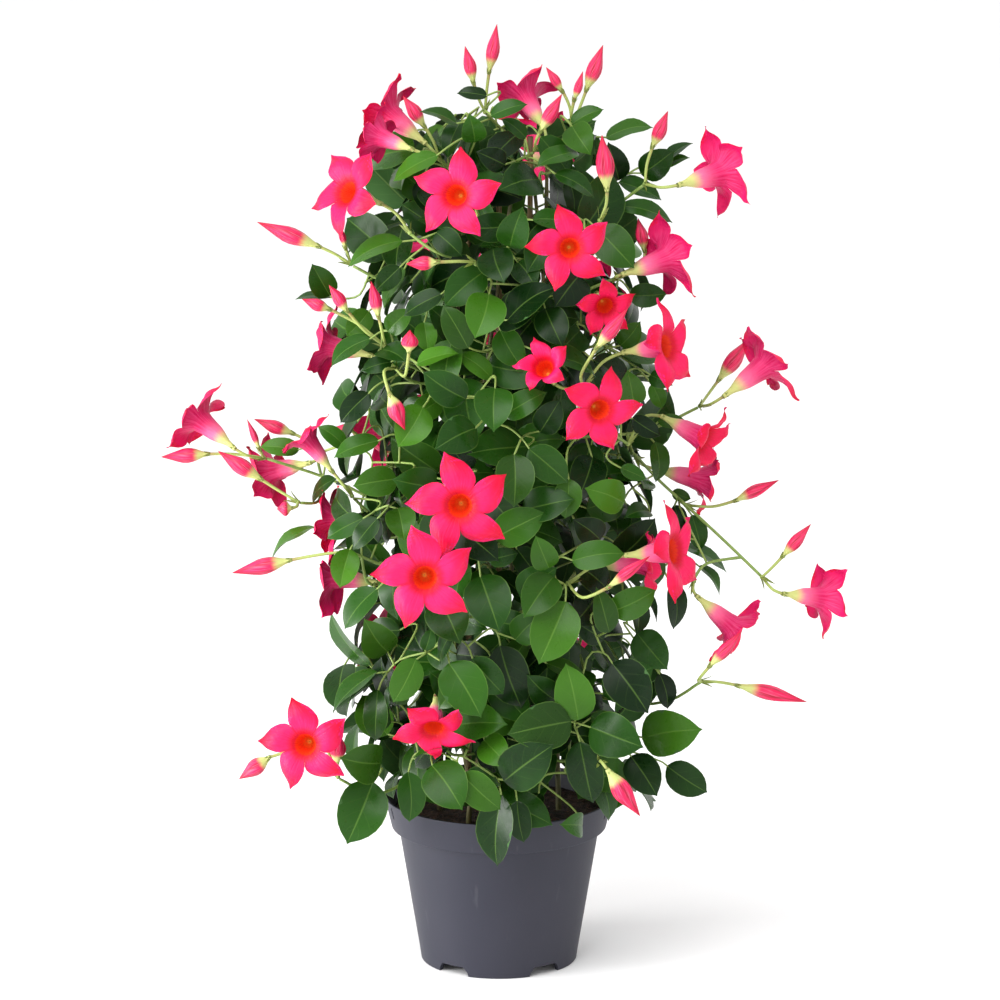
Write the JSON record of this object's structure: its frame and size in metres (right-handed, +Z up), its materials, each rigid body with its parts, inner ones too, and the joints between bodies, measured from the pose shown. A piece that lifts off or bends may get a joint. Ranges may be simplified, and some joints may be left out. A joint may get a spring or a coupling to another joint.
{
  "type": "potted mandevilla",
  "caption": "Climbing mandevilla grown as a column of glossy leaves, pink trumpet flowers and furled buds on bamboo canes, in a round plastic nursery pot.",
  "frame": {"origin": "on the floor under the pot's axis, the middle of the whole plant's footprint", "axes": "+Z up along the pot's axis, -Y towards the plant's front"},
  "size_m": [0.4985, 0.3526, 0.6952],
  "materials": {
    "pot_plastic": "satin dark blue-grey moulded plastic",
    "peat": "moist dark peat",
    "bamboo": "dry straw-coloured cane",
    "leaf": "glossy green leaf with a pale midrib",
    "petal": "velvety pink petal with a red throat"
  },
  "bodies": {
    "root": {"pot": "pot_plastic", "potting_soil": "peat", "bamboo_cane_1": "bamboo", "bamboo_cane_2": "bamboo", "bamboo_cane_3": "bamboo", "leafy_vine_1": "leaf", "leafy_vine_2": "leaf", "leafy_vine_3": "leaf", "leafy_vine_4": "leaf", "leafy_vine_5": "leaf", "leafy_vine_6": "leaf", "raceme_01": "petal", "raceme_02": "petal", "raceme_03": "petal", "raceme_04": "petal", "raceme_05": "petal", "raceme_06": "petal", "raceme_07": "petal", "raceme_08": "petal", "raceme_09": "petal", "raceme_10": "petal", "raceme_11": "petal", "raceme_12": "petal", "raceme_13": "petal", "raceme_14": "petal", "raceme_15": "petal", "raceme_16": "petal", "raceme_17": "petal", "raceme_18": "petal", "raceme_19": "petal", "raceme_20": "petal", "raceme_21": "petal", "raceme_22": "petal", "raceme_23": "petal", "raceme_24": "petal", "raceme_25": "petal", "raceme_26": "petal", "raceme_27": "petal", "raceme_28": "petal", "raceme_29": "petal", "raceme_30": "petal", "raceme_31": "petal", "raceme_32": "petal", "raceme_33": "petal", "raceme_34": "petal", "raceme_35": "petal", "raceme_36": "petal", "raceme_37": "petal", "raceme_38": "petal", "raceme_39": "petal", "raceme_40": "petal", "raceme_41": "petal", "raceme_42": "petal", "raceme_43": "petal", "raceme_44": "petal", "raceme_45": "petal", "raceme_46": "petal"}
  },
  "joints": []
}
